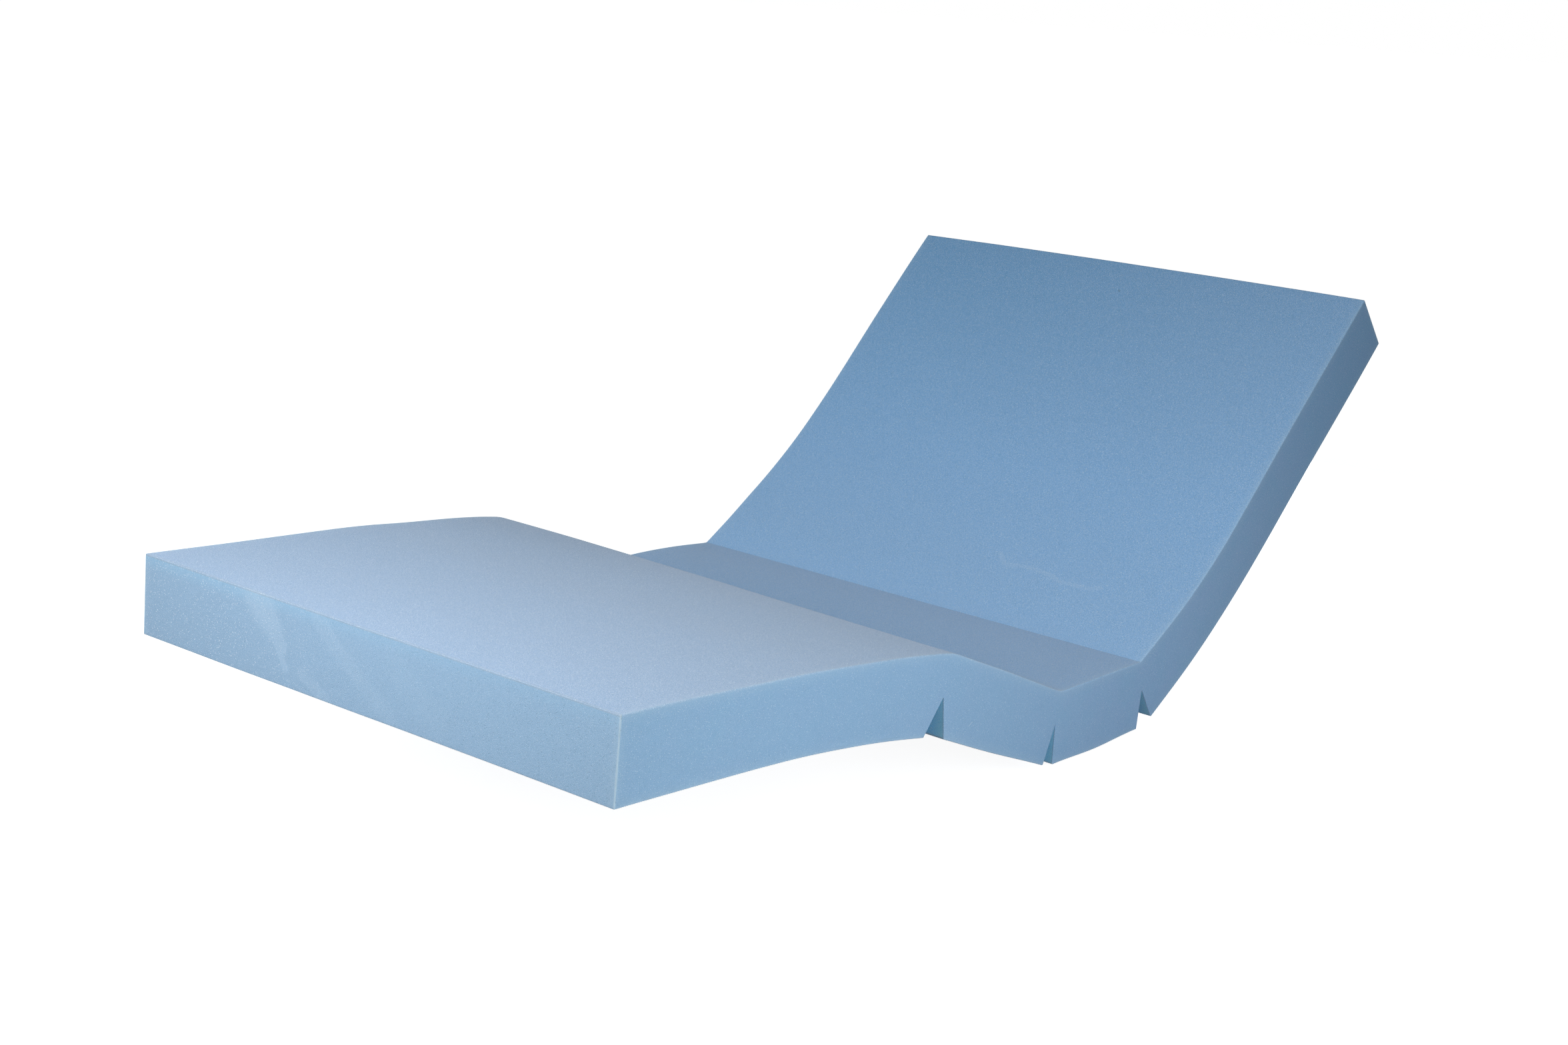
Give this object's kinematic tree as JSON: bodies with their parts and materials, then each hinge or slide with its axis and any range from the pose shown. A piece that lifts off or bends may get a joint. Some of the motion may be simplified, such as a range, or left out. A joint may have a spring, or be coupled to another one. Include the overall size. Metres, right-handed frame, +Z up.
{
  "type": "foam mattress",
  "caption": "Bare pale blue foam mattress for a profiling bed, cut across its underside so that it bends under the knees, at the thighs and at the back.",
  "frame": {"origin": "middle of the seat section's underside, where the bed's fixed seat panel carries it", "axes": "+Z up, +X towards the head end, +Y across the mattress"},
  "size_m": [1.8289, 0.9, 0.6249],
  "materials": {
    "foam": "matte open-cell foam"
  },
  "bodies": {
    "foot": {"foot_section": "foam", "calf_curve": "foam"},
    "calf": {"calf_section": "foam", "knee_bridge": "foam"},
    "thigh": {"thigh_section": "foam", "thigh_bridge": "foam"},
    "seat": {"seat_section": "foam"},
    "lumbar": {"lumbar_section": "foam", "back_bridge": "foam"},
    "back": {"back_section": "foam", "lumbar_curve": "foam"}
  },
  "joints": [
    {"name": "thigh_hinge", "type": "hinge", "parent": "seat", "child": "thigh", "pos_m": [-0.122, 0, 0.063], "axis": [0, 1, 0], "range_deg": [-21, 15], "deforming": ["thigh_bridge"]},
    {"name": "knee_hinge", "type": "hinge", "parent": "thigh", "child": "calf", "pos_m": [-0.40882, 0, 0.16132], "axis": [0, -1, 0], "range_deg": [-11.4, 8.2], "deforming": ["knee_bridge"]},
    {"name": "calf_bend", "type": "hinge", "parent": "calf", "child": "foot", "pos_m": [-0.61011, 0, 0.19443], "axis": [0, -1, 0], "range_deg": [-7.6, 5.5], "deforming": ["calf_curve"]},
    {"name": "back_hinge", "type": "hinge", "parent": "seat", "child": "lumbar", "pos_m": [0.122, 0, 0.063], "axis": [0, -1, 0], "range_deg": [-31, 19], "deforming": ["back_bridge"]},
    {"name": "lumbar_bend", "type": "hinge", "parent": "lumbar", "child": "back", "pos_m": [0.30322, 0, 0.17108], "axis": [0, -1, 0], "range_deg": [-12.5, 7.7], "deforming": ["lumbar_curve"]}
  ],
  "couplings": [
    {"joint": "knee_hinge", "follows": "thigh_hinge", "ratio": 0.54},
    {"joint": "calf_bend", "follows": "thigh_hinge", "ratio": 0.36},
    {"joint": "lumbar_bend", "follows": "back_hinge", "ratio": 0.4}
  ]
}
